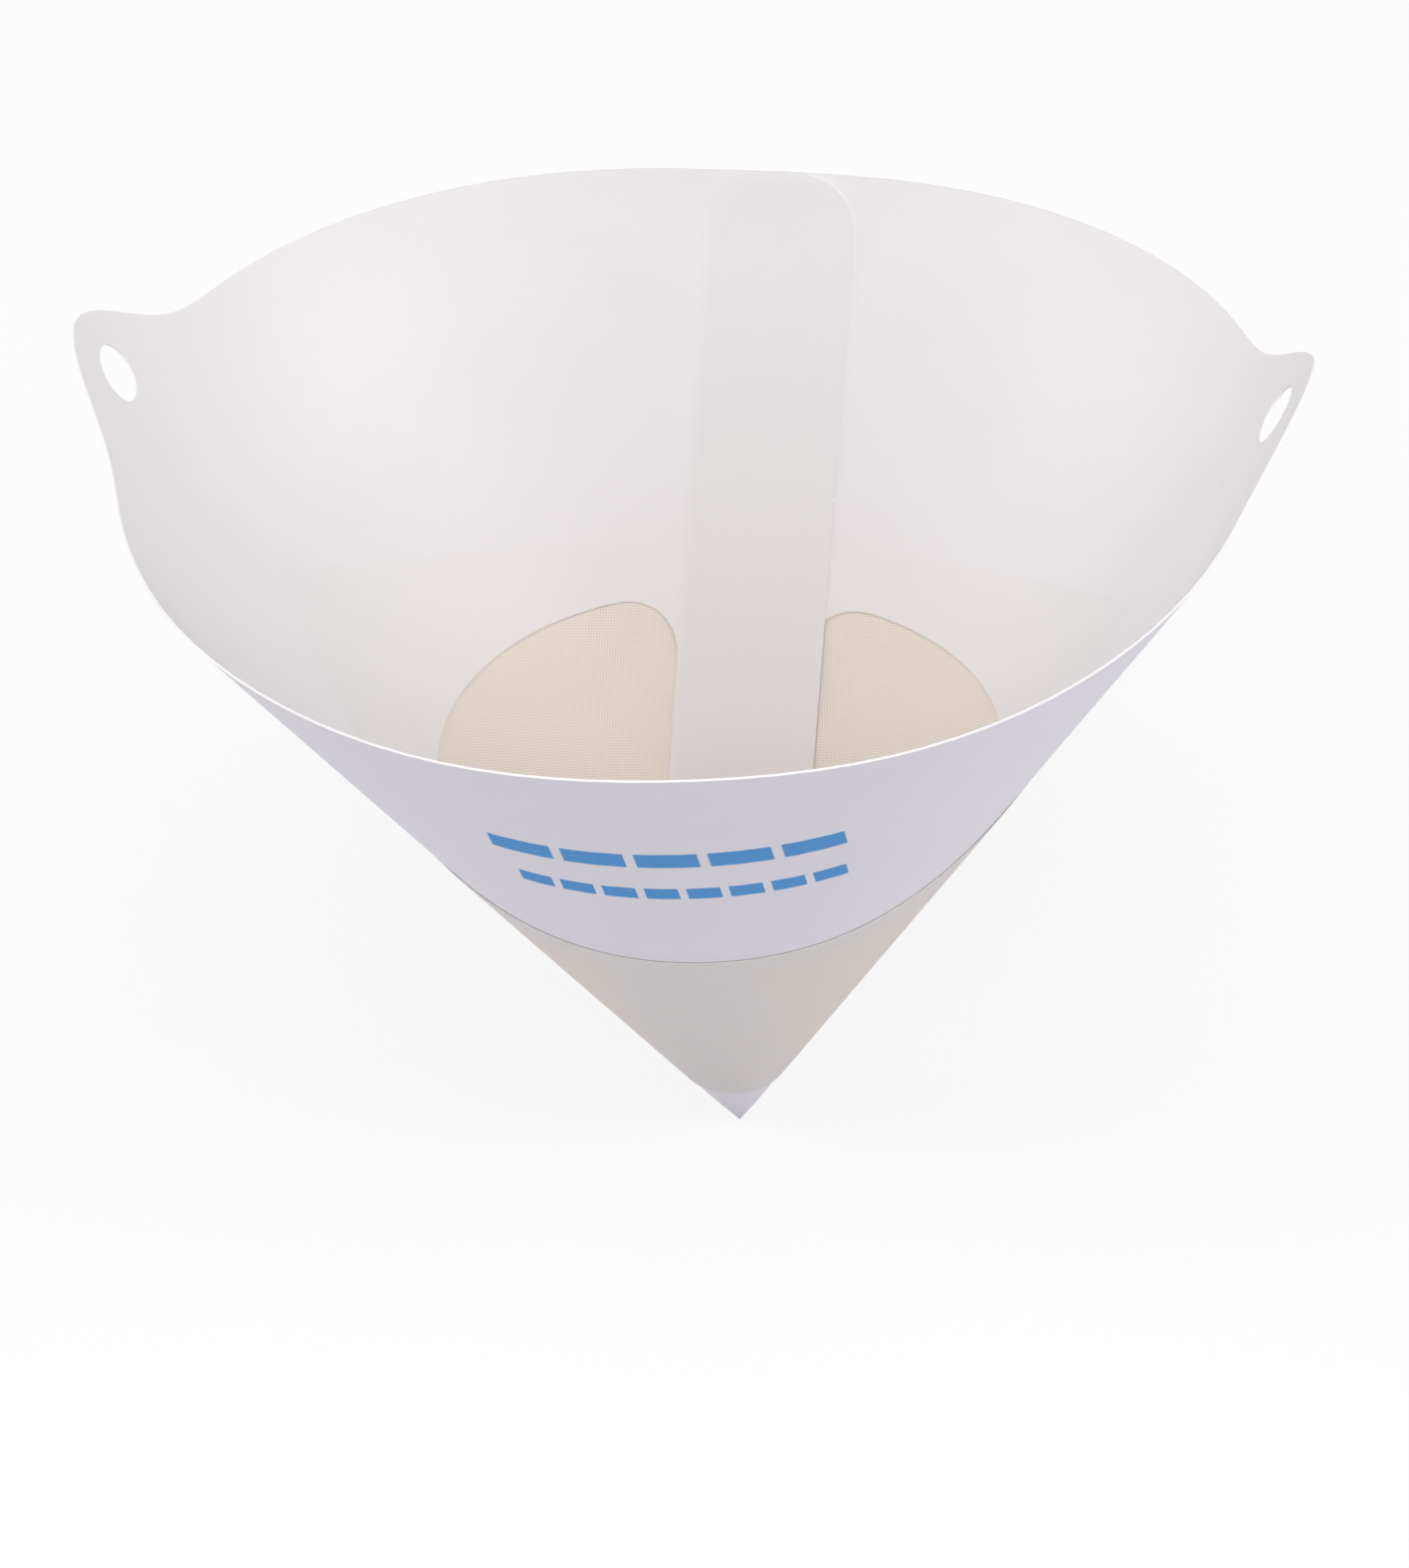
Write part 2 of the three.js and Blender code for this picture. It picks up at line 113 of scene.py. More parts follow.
@dataclass(frozen=True)
class ConeForm:
    """Shape that the flat sheet takes once it is rolled: a cone whose opening varies round its axis.

    A turn is 0 at the left ear, a quarter at the front and a half at the right ear. A sheet angle is
    the angle used up in the flat sheet, and a radius is the distance from the tip along the sheet.
    """

    opening_mean: float = 0.5044
    opening_oval: float = 0.019
    opening_square: float = -0.0125
    opening_front: float = 0.0242
    opening_flat_back: float = -0.0235
    cup_mouth_radius: float = 44.3 * MM
    ripple: float = 0.16 * MM
    ripple_radius: float = 150 * MM
    samples: int = 1440
    sheet_angles: tuple[float, ...] = field(init=False)

    def __post_init__(self) -> None:
        """Adds up the sheet angle round one turn."""
        angles = [0.0]
        last = self.ruling(0.0)
        for i in range(1, self.samples + 1):
            this = self.ruling(math.tau * i / self.samples)
            angles.append(angles[-1] + last.angle(this))
            last = this
        object.__setattr__(self, "sheet_angles", tuple(angles))

    @property
    def whole(self) -> float:
        """Sheet angle of one whole turn, which is also the left crease."""
        return self.sheet_angles[-1]

    @property
    def right_crease(self) -> float:
        """Sheet angle of the right ear's crease."""
        return self.sheet_angles[self.samples // 2]

    @property
    def front_middle(self) -> float:
        """Sheet angle of the front panel's middle."""
        return self.right_crease / 2

    @property
    def back_middle(self) -> float:
        """Sheet angle of the back panel's middle."""
        return (self.right_crease + self.whole) / 2

    @property
    def seat_height(self) -> float:
        """Height of the cup's mouth above the tip."""
        return self.cup_mouth_radius / math.tan(self.opening(0.0))

    def opening(self, turn: float) -> float:
        """Half-angle of the cone at a turn."""
        return (
            self.opening_mean
            + self.opening_oval * math.cos(2 * turn)
            + self.opening_square * math.cos(4 * turn)
            + self.opening_front * math.sin(turn)
            + self.opening_flat_back * math.sin(3 * turn)
        )

    def ruling(self, turn: float) -> Vector:
        """Unit vector from the tip up along the sheet at a turn."""
        angle = self.opening(turn)
        return Vector((-math.sin(angle) * math.cos(turn), -math.sin(angle) * math.sin(turn), math.cos(angle)))

    def outward(self, turn: float) -> Vector:
        """Outward normal of the sheet at a turn."""
        step = 1e-3
        return (self.ruling(turn + step) - self.ruling(turn - step)).cross(self.ruling(turn)).normalized()

    def turn_at(self, sheet_angle: float) -> float:
        """Turn at which a sheet angle lies."""
        wanted = sheet_angle % self.whole
        low = min(bisect_right(self.sheet_angles, wanted) - 1, self.samples - 1)
        step = self.sheet_angles[low + 1] - self.sheet_angles[low]
        return math.tau * (low + (wanted - self.sheet_angles[low]) / step) / self.samples

    def point(self, sheet_angle: float, radius: float, offset: float) -> Vector:
        """Point of the bent sheet.

        Args:
            sheet_angle: Angle in the flat sheet, from the left crease.
            radius: Distance from the tip.
            offset: Distance out from the inner face.

        Returns:
            The point in the part's frame.
        """
        turn = self.turn_at(sheet_angle)
        growth = self.ripple * (radius / self.ripple_radius) ** 2
        unevenness = growth * (math.sin(5 * turn + 0.7) + 0.6 * math.sin(9 * turn + 2.1))
        place = self.ruling(turn) * radius + self.outward(turn) * (offset + unevenness)
        return place - Vector((0, 0, self.seat_height))


@dataclass(frozen=True)
class Blank:
    """Lines of the flat paper blank: its rim, its cut ends, its windows and its ear holes."""

    form: ConeForm
    thickness: float = 0.3 * MM
    front_rim: float = 151.2 * MM
    back_rim: float = 129.4 * MM
    ear_rise: float = 11.5 * MM
    ear_half_length: float = 34.8 * MM
    ear_sharpness: float = 3
    seam_width: float = 18.9 * MM
    seam_offset: float = 3.3 * MM
    seam_lean: float = 0.066
    seam_ease: float = 10 * MM
    seam_corner: float = 8 * MM
    crease_margin: float = 0.09
    lap_low_end: float = 3 * MM
    lap_full: float = 9 * MM
    nick_radius: float = 87.4 * MM
    nick_depth: float = 0.55 * MM
    nick_half_width: float = 0.5 * MM
    window_top: float = 73.2 * MM
    window_low: float = 18 * MM
    window_corner: float = 8.5 * MM
    window_low_corner: float = 1.5 * MM
    window_under_flap: float = 2.5 * MM
    strut_width: float = 18.9 * MM
    hole_inset: float = 8.8 * MM
    hole_radius: float = 3.8 * MM
    line_step: float = 1.5 * MM
    corner_steps: int = 9
    hole_sides: int = 44

    @property
    def first_angle(self) -> float:
        """Sheet angle at which the sheet starts at its tip."""
        return self.form.right_crease + self.crease_margin

    def rim(self, sheet_angle: float) -> float:
        """Radius of the rim at a sheet angle: a tall front, a low back and an ear at each crease."""
        mean = (self.front_rim + self.back_rim) / 2
        swing = (self.front_rim - self.back_rim) / 2
        place = sheet_angle % self.form.whole
        from_left = min(place, self.form.whole - place)
        from_right = abs(place - self.form.right_crease)
        rise = sum(self.ear(mean * distance) for distance in (from_left, from_right))
        return mean + swing * math.sin(self.form.turn_at(sheet_angle)) + rise

    def ear(self, distance: float) -> float:
        """Rise of an ear at a distance along the rim from its crease."""
        if distance >= self.ear_half_length:
            return 0.0
        bell = (1 + math.cos(math.pi * distance / self.ear_half_length)) / 2
        return self.ear_rise * bell**self.ear_sharpness

    def seam_line(self, across: float, radius: float) -> float:
        """Sheet angle at which a line along the seam crosses a radius."""
        sine = min(1.0, max(-1.0, (self.seam_offset + across) / max(radius, MERGE_DISTANCE)))
        angle = self.form.back_middle - self.seam_lean + math.asin(sine)
        return min(self.form.whole - self.crease_margin, max(self.first_angle, angle))

    def flap_line(self, radius: float) -> float:
        """Sheet angle of the flap's cut end, which lies inside."""
        return self.seam_line(-self.seam_width / 2, radius)

    def lap_line(self, radius: float) -> float:
        """Sheet angle of the lap's cut end, which lies outside."""
        return self.seam_line(self.seam_width / 2, radius)

    def corner_distances(self, radius: float) -> list[float]:
        """Distances from a side, close together where its rounded corner turns."""
        step = math.pi / 2 / self.corner_steps
        return [radius * (1 - math.cos(step * i)) for i in range(self.corner_steps + 1)]

    @staticmethod
    def corner_drop(distance: float, radius: float) -> float:
        """Drop of a rounded corner at a distance from the side that it starts from."""
        if distance >= radius:
            return 0.0
        return radius - math.sqrt(radius**2 - (radius - distance) ** 2)

    def sunk(self, sheet_angle: float, radius: float) -> float:
        """Depth of the sheet under the lap: full on the seam, and eased out beyond it."""
        if sheet_angle > self.form.whole:
            return 0.0
        past = max(0.0, (sheet_angle - self.lap_line(radius)) * radius)
        near_tip = smooth((radius - self.lap_low_end) / (self.lap_full - self.lap_low_end))
        return self.thickness * near_tip * smooth(1 - past / self.seam_ease)

    def rim_place(self, across: float, drop: float, turns: int) -> Place:
        """Place on the rim where a line along the seam meets it.

        Args:
            across: Distance of the line across the seam from its middle.
            drop: Drop of the rim at that line.
            turns: Whole turns to add to the sheet angle.

        Returns:
            The sheet angle and the radius.
        """
        radius = self.back_rim
        for _ in range(SETTLE_ROUNDS):
            radius = self.rim(self.seam_line(across, radius)) - drop
        return (self.seam_line(across, radius) + turns * self.form.whole, radius)

    def outline(self) -> list[Place]:
        """Outline of the blank, from the tip up the flap, along the rim and down the lap."""
        half = self.seam_width / 2
        corner = self.corner_distances(self.seam_corner)
        drops = [self.corner_drop(distance, self.seam_corner) for distance in corner]
        rise = [self.rim_place(d - half, drop, 0) for d, drop in zip(corner, drops)]
        fall = [self.rim_place(half - d, drop, 1) for d, drop in zip(reversed(corner), reversed(drops))]
        steps = round((fall[0][0] - rise[-1][0]) * self.front_rim / self.line_step)
        angles = [rise[-1][0] + (fall[0][0] - rise[-1][0]) * i / steps for i in range(1, steps)]
        rim = [(angle, self.rim(angle)) for angle in angles]
        flap = [place for place in self.flap_edge() if place[1] < rise[0][1] - MERGE_DISTANCE]
        lap_length = fall[-1][1] - self.lap_low_end
        lap_steps = round(lap_length / self.line_step)
        radii = [self.lap_low_end + lap_length * i / lap_steps for i in range(lap_steps)]
        lap = [(self.form.whole + self.lap_line(radius), radius) for radius in reversed(radii)]
        end = self.first_angle + self.form.whole
        return [(self.first_angle, 0.0), *flap, *rise, *rim, *fall, *lap, (end, self.lap_low_end), (end, 0.0)]

    def flap_edge(self) -> list[Place]:
        """Places up the flap's cut end, with the small nick that the die left in it."""
        nick_low = self.nick_radius - self.nick_half_width
        nick_high = self.nick_radius + self.nick_half_width
        low = [self.lap_low_end]
        while low[-1] < nick_low - self.line_step:
            low.append(low[-1] + self.line_step)
        high = [nick_high + self.line_step]
        while high[-1] < self.back_rim:
            high.append(high[-1] + self.line_step)
        nick_share = self.nick_depth / self.nick_radius
        nick = [
            (self.flap_line(nick_low), nick_low),
            (self.flap_line(self.nick_radius) + nick_share, self.nick_radius - self.nick_half_width / 2),
            (self.flap_line(self.nick_radius) + nick_share / 2, self.nick_radius + self.nick_half_width / 2),
            (self.flap_line(nick_high), nick_high),
        ]
        return [
            *((self.flap_line(radius), radius) for radius in low),
            *nick,
            *((self.flap_line(radius), radius) for radius in high),
        ]

    def strut_line(self, side: Side, radius: float) -> float:
        """Sheet angle at which a side of the front strut crosses a radius."""
        return self.form.front_middle + side.value * math.asin(self.strut_width / 2 / radius)

    def window(self, side: Side) -> list[Place]:
        """Outline of one window, with rounded corners.

        Args:
            side: The ear that the window lies round.

        Returns:
            Places round the window, in the blank's own run of sheet angles.
        """
        whole = self.form.whole
        lines: dict[Side, tuple[Callable[[float], float], Callable[[float], float]]] = {
            Side.LEFT: (self.lap_line, lambda radius: whole + self.strut_line(Side.LEFT, radius)),
            Side.RIGHT: (
                lambda radius: whole + self.strut_line(Side.RIGHT, radius),
                lambda radius: whole + self.seam_line(self.window_under_flap - self.seam_width / 2, radius),
            ),
        }
        start, end = lines[side]

        def at(share: float, radius: float) -> Place:
            return (start(radius) + (end(radius) - start(radius)) * share, radius)

        length = (end(self.window_top) - start(self.window_top)) * self.window_top
        corner = self.corner_distances(self.window_corner)
        steps = round((length - 2 * self.window_corner) / self.line_step)
        open_length = length - 2 * self.window_corner
        between = [self.window_corner + open_length * i / steps for i in range(1, steps)]
        distances = [*corner, *between, *(length - d for d in reversed(corner))]
        drops = [self.corner_drop(min(d, length - d), self.window_corner) for d in distances]
        top = [at(d / length, self.window_top - drop) for d, drop in zip(distances, drops)]
        low_share = self.window_low_corner / self.window_corner
        low = [at(d / length, self.window_low + drop * low_share) for d, drop in zip(distances, drops)]
        side_steps = round((self.window_top - self.window_low) / self.line_step)
        first, last = low[0][1], top[0][1]
        radii = [first + (last - first) * i / side_steps for i in range(1, side_steps)]
        return [
            *low,
            *(at(1.0, radius) for radius in radii),
            *reversed(top),
            *(at(0.0, radius) for radius in reversed(radii)),
        ]

    def ear_hole(self, crease: float) -> list[Place]:
        """Outline of the round hole in the ear at a crease."""
        turns = [math.tau * i / self.hole_sides for i in range(self.hole_sides)]
        across = [self.hole_radius * math.cos(turn) for turn in turns]
        along = [self.rim(crease) - self.hole_inset + self.hole_radius * math.sin(turn) for turn in turns]
        return [(crease + math.atan2(x, y), math.hypot(x, y)) for x, y in zip(across, along)]


@dataclass(frozen=True)
class GauzeCut:
    """Lines of the flat gauze: its upper edge straight across each panel, and its joint on the seam."""

    blank: Blank
    corner_radius: float = 109 * MM
    low_radius: float = 15 * MM
    lap: float = 2 * MM
    joint: float = 0.8 * MM
    glue: float = 0.04 * MM
    step_out: float = 2 * MM
    line_step: float = 1.5 * MM

    def top(self, sheet_angle: float) -> float:
        """Radius of the upper edge at a sheet angle."""
        form = self.blank.form
        place = sheet_angle % form.whole
        on_front = place < form.right_crease
        middle = form.front_middle if on_front else form.back_middle
        half = form.front_middle if on_front else form.whole - form.back_middle
        return self.corner_radius * math.cos(half) / math.cos(place - middle)

    def end_line(self, inset: float, radius: float) -> float:
        """Sheet angle of one end of the gauze, inset from the lap's cut end."""
        return self.blank.lap_line(radius) - inset / radius

    def end_places(self, inset: float, turns: int) -> list[Place]:
        """Places up one end of the gauze."""
        shift = turns * self.blank.form.whole
        reach = self.low_radius
        for _ in range(SETTLE_ROUNDS):
            reach = self.top(self.end_line(inset, reach) + shift)
        steps = round((reach - self.low_radius) / self.line_step)
        radii = [self.low_radius + (reach - self.low_radius) * i / steps for i in range(steps + 1)]
        return [(self.end_line(inset, radius) + shift, radius) for radius in radii]

    def outline(self) -> list[Place]:
        """Outline of the gauze, up its first end, along the top, down its last end and back."""
        first = self.end_places(self.lap, 0)
        last = self.end_places(self.lap + self.joint, 1)
        steps = round((last[-1][0] - first[-1][0]) * self.corner_radius / self.line_step)
        angles = [first[-1][0] + (last[-1][0] - first[-1][0]) * i / steps for i in range(1, steps)]
        return [*first, *((angle, self.top(angle)) for angle in angles), *reversed(last)]

    def offset(self, sheet_angle: float, radius: float) -> float:
        """Distance of the gauze's inner face out from the paper's unsunk inner face."""
        thickness = self.blank.thickness
        past = (sheet_angle - self.blank.lap_line(radius)) * radius
        on_paper = thickness - self.blank.sunk(sheet_angle, radius)
        over_lap = thickness * min(1.0, max(0.0, 1 - past / self.step_out))
        return self.glue + (max(on_paper, over_lap) if sheet_angle < self.blank.form.whole else thickness)

    def flat_area(self) -> float:
        """Area of the flat cut."""
        places = [(r * math.cos(angle), r * math.sin(angle)) for angle, r in self.outline()]
        following = [*places[1:], places[0]]
        return abs(sum(a[0] * b[1] - b[0] * a[1] for a, b in zip(places, following))) / 2

    def flat_size(self) -> tuple[float, float]:
        """Width and length of the flat cut, with its front panel's middle up."""
        middle = self.blank.form.whole + self.blank.form.front_middle
        across = [r * math.sin(angle - middle) for angle, r in self.outline()]
        along = [r * math.cos(angle - middle) for angle, r in self.outline()]
        return (max(across) - min(across), max(along) - min(along))


@dataclass(frozen=True)
class SheetBender:
    """Cuts a sheet to its outline in sheet angle and radius, and bends it onto the cone."""

    form: ConeForm
    thickness: float
    angle_unit: float = 100 * MM
    angle_steps: int = 156
    row_step: float = 5 * MM
    rows: int = 34
    sharp_angle: float = math.radians(40)
    flat_name: str = "flat"

    def bend(
        self,
        name: str,
        loops: list[list[Place]],
        offset: Callable[[float, float], float],
    ) -> bpy.types.Object:
        """Makes the bent sheet with its thickness.

        Args:
            name: Name of the piece.
            loops: The outline first, then the outline of each opening.
            offset: Distance of the inner face out from the cone, at a sheet angle and a radius.

        Returns:
            The new object, with a map of its flat places.
        """
        mesh = bpy.data.meshes.new(name)
        bm = bmesh.new()
        edges = [edge for loop in loops for edge in self.loop_edges(bm, loop)]
        bmesh.ops.triangle_fill(bm, use_beauty=True, use_dissolve=False, edges=edges, normal=(0, 0, 1))
        self.cut_grid(bm, loops[0])
        self.mark_flat(bm)
        for vertex in bm.verts:
            sheet_angle, radius = vertex.co.x / self.angle_unit, vertex.co.y
            vertex.co = self.form.point(sheet_angle, radius, offset(sheet_angle, radius))
        bmesh.ops.remove_doubles(bm, verts=bm.verts, dist=MERGE_DISTANCE)
        self.face_outwards(bm)
        bm.to_mesh(mesh)
        bm.free()
        piece = bpy.data.objects.new(name, mesh)
        bpy.context.scene.collection.objects.link(piece)
        self.thicken(piece)
        return piece

    def loop_edges(self, bm: bmesh.types.BMesh, loop: list[Place]) -> list[bmesh.types.BMEdge]:
        """Closed run of edges through the places of one outline."""
        verts = [bm.verts.new((angle * self.angle_unit, radius, 0)) for angle, radius in loop]
        return [bm.edges.new((a, b)) for a, b in zip(verts, [*verts[1:], verts[0]])]

    def cut_grid(self, bm: bmesh.types.BMesh, outline: list[Place]) -> None:
        """Cuts the flat sheet into narrow strips and rows, and clears the cuts that cross a cell."""
        low = min(angle for angle, _ in outline)
        high = max(angle for angle, _ in outline)
        step = self.form.right_crease / round(self.form.right_crease * self.angle_steps / (high - low))
        first = math.floor((low - self.form.whole) / step) + 1
        last = math.ceil((high - self.form.whole) / step)
        for i in range(first, last):
            self.cut(bm, Vector(((self.form.whole + i * step) * self.angle_unit, 0, 0)), Vector((1, 0, 0)))
        for i in range(1, self.rows):
            self.cut(bm, Vector((0, self.row_step * i, 0)), Vector((0, 1, 0)))
        bmesh.ops.dissolve_limit(
            bm,
            angle_limit=math.radians(0.5),
            use_dissolve_boundaries=False,
            verts=bm.verts,
            edges=bm.edges,
            delimit={"SEAM"},
        )

    @staticmethod
    def cut(bm: bmesh.types.BMesh, place: Vector, normal: Vector) -> None:
        """Cuts the whole sheet along one line, and marks the cut so that it stays."""
        geometry = [*bm.verts, *bm.edges, *bm.faces]
        made = bmesh.ops.bisect_plane(bm, geom=geometry, dist=1e-7, plane_co=place, plane_no=normal)
        for part in made["geom_cut"]:
            if isinstance(part, bmesh.types.BMEdge):
                part.seam = True

    def mark_flat(self, bm: bmesh.types.BMesh) -> None:
        """Writes each corner's place in the flat sheet, with the front panel's middle up."""
        layer = bm.loops.layers.uv.new(self.flat_name)
        middle = self.form.whole + self.form.front_middle
        for face in bm.faces:
            for corner in face.loops:
                angle = corner.vert.co.x / self.angle_unit - middle
                radius = corner.vert.co.y
                corner[layer].uv = (radius * math.sin(angle), radius * math.cos(angle))

    def outward_at(self, place: Vector) -> Vector:
        """Outward direction of the cone at a point beside it."""
        turn = math.atan2(-place.y, -place.x)
        return self.form.outward(turn)

    def face_outwards(self, bm: bmesh.types.BMesh) -> None:
        """Turns the sheet's faces to look out of the cone."""
        bm.normal_update()
        middle = max(bm.faces, key=lambda face: face.calc_area())
        if middle.normal.dot(self.outward_at(middle.calc_center_median())) < 0:
            bmesh.ops.reverse_faces(bm, faces=bm.faces)
        for edge in bm.edges:
            edge.seam = False

    def thicken(self, piece: bpy.types.Object) -> None:
        """Gives the sheet its thickness outwards, then soft shading with sharp cut edges."""
        solidify = piece.modifiers.new("thickness", "SOLIDIFY")
        solidify.thickness = self.thickness
        solidify.offset = 1.0
        evaluated = piece.evaluated_get(bpy.context.evaluated_depsgraph_get())
        thick = bpy.data.meshes.new_from_object(evaluated)
        piece.modifiers.clear()
        thin, piece.data = piece.data, thick
        bpy.data.meshes.remove(thin)
        thick.name = piece.name
        thick.shade_smooth()
        thick.set_sharp_from_angle(angle=self.sharp_angle)

    def face_kind(self, polygon: bpy.types.MeshPolygon) -> Face:
        """Whether a face is on the inside, the outside or a cut edge."""
        facing = polygon.normal.dot(self.outward_at(polygon.center))
        if abs(facing) < 0.6:
            return Face.CUT_EDGE
        return Face.OUTSIDE if facing > 0 else Face.INSIDE


class Wire:
    """One socket's value in a material, on which plain sums can be written."""

    def __init__(self, tree: "NodeBook", socket: bpy.types.NodeSocket) -> None:
        """Wraps the output socket of a node."""
        self.tree = tree
        self.socket = socket

    def maths(self, operation: str, *values: Any) -> "Wire":
        """Result of one Math node."""
        return self.tree.node("ShaderNodeMath", {"operation": operation}, dict(enumerate(values)))

    def __add__(self, other: Any) -> "Wire":
        """Sum."""
        return self.maths("ADD", self, other)

    def __radd__(self, other: Any) -> "Wire":
        """Sum with a number first."""
        return self.maths("ADD", other, self)

    def __sub__(self, other: Any) -> "Wire":
        """Difference."""
        return self.maths("SUBTRACT", self, other)

    def __rsub__(self, other: Any) -> "Wire":
        """Difference with a number first."""
        return self.maths("SUBTRACT", other, self)

    def __mul__(self, other: Any) -> "Wire":
        """Product."""
        return self.maths("MULTIPLY", self, other)

    def __rmul__(self, other: Any) -> "Wire":
        """Product with a number first."""
        return self.maths("MULTIPLY", other, self)

    def __truediv__(self, other: Any) -> "Wire":
        """Quotient."""
        return self.maths("DIVIDE", self, other)

    def __abs__(self) -> "Wire":
        """Size without its sign."""
        return self.maths("ABSOLUTE", self)

    def below(self, edge: Any, softness: float) -> "Wire":
        """Mask that is 1 below an edge and 0 above it, with a soft change between."""
        share = (edge - self) / softness + 0.5
        share.socket.node.use_clamp = True
        return share

    def above(self, edge: Any, softness: float) -> "Wire":
        """Mask that is 1 above an edge and 0 below it, with a soft change between."""
        return 1 - self.below(edge, softness)


class NodeBook:
    """Nodes of one material."""

    def __init__(self, name: str) -> None:
        """Starts an empty material of that name."""
        self.material = bpy.data.materials.new(name)
        self.material.use_nodes = True
        self.nodes = self.material.node_tree.nodes
        self.links = self.material.node_tree.links
        self.nodes.clear()

    def node(self, kind: str, settings: dict[str, Any], sockets: dict[Any, Any], output: Any = 0) -> Wire:
        """Adds one node.

        Args:
            kind: Type of the node.
            settings: Properties of the node, set before its sockets.
            sockets: Value or link of each input, by name or number.
            output: Name or number of the output to return.

        Returns:
            The wrapped output.
        """
        made = self.nodes.new(kind)
        for name, value in settings.items():
            setattr(made, name, value)
        for key, value in sockets.items():
            if isinstance(value, Wire):
                self.links.new(value.socket, made.inputs[key])
            else:
                made.inputs[key].default_value = value
        return Wire(self, made.outputs[output])

    def flat_place(self) -> tuple[Wire, Wire]:
        """Place in the flat sheet in millimetres: across, and up from the tip along the front's middle."""
        flat = self.node("ShaderNodeUVMap", {"uv_map": "flat"}, {})
        across = self.node("ShaderNodeSeparateXYZ", {}, {0: flat}, "X")
        along = self.node("ShaderNodeSeparateXYZ", {}, {0: flat}, "Y")
        return across / MM, along / MM

    def noise(self, scale: float, detail: float, roughness: float) -> Wire:
        """Noise from 0 to 1 over the object, with its scale in cells per metre."""
        place = self.node("ShaderNodeTexCoord", {}, {}, "Object")
        sockets = {"Vector": place, "Scale": scale, "Detail": detail, "Roughness": roughness}
        return self.node("ShaderNodeTexNoise", {}, sockets, "Fac")

    def mixed(self, share: Any, first: Any, second: Any) -> Wire:
        """Colour between two colours."""
        made = self.nodes.new("ShaderNodeMix")
        made.data_type = "RGBA"
        colours = [socket for socket in made.inputs if socket.type == "RGBA"]
        for socket, value in ((made.inputs[0], share), (colours[0], first), (colours[1], second)):
            if isinstance(value, Wire):
                self.links.new(value.socket, socket)
            else:
                socket.default_value = value
        return Wire(self, next(socket for socket in made.outputs if socket.type == "RGBA"))

    def bump(self, height: Wire, strength: float, distance: float) -> Wire:
        """Bumped normal from a height."""
        return self.node("ShaderNodeBump", {}, {"Height": height, "Strength": strength, "Distance": distance})

    def surface(self, sockets: dict[str, Any]) -> bpy.types.Material:
        """Ends the material with one Principled shader."""
        shader = self.node("ShaderNodeBsdfPrincipled", {}, sockets)
        self.node_output(shader)
        return self.material

    def node_output(self, shader: Wire) -> None:
        """Links a shader to the material's output."""
        made = self.nodes.new("ShaderNodeOutputMaterial")
        self.links.new(shader.socket, made.inputs["Surface"])


@dataclass(frozen=True)
class DashRow:
    """One row of printed dashes in the flat sheet, in millimetres from the tip and from the middle."""

    low: float
    high: float
    start: float
    end: float
    count: int
    gap_share: float


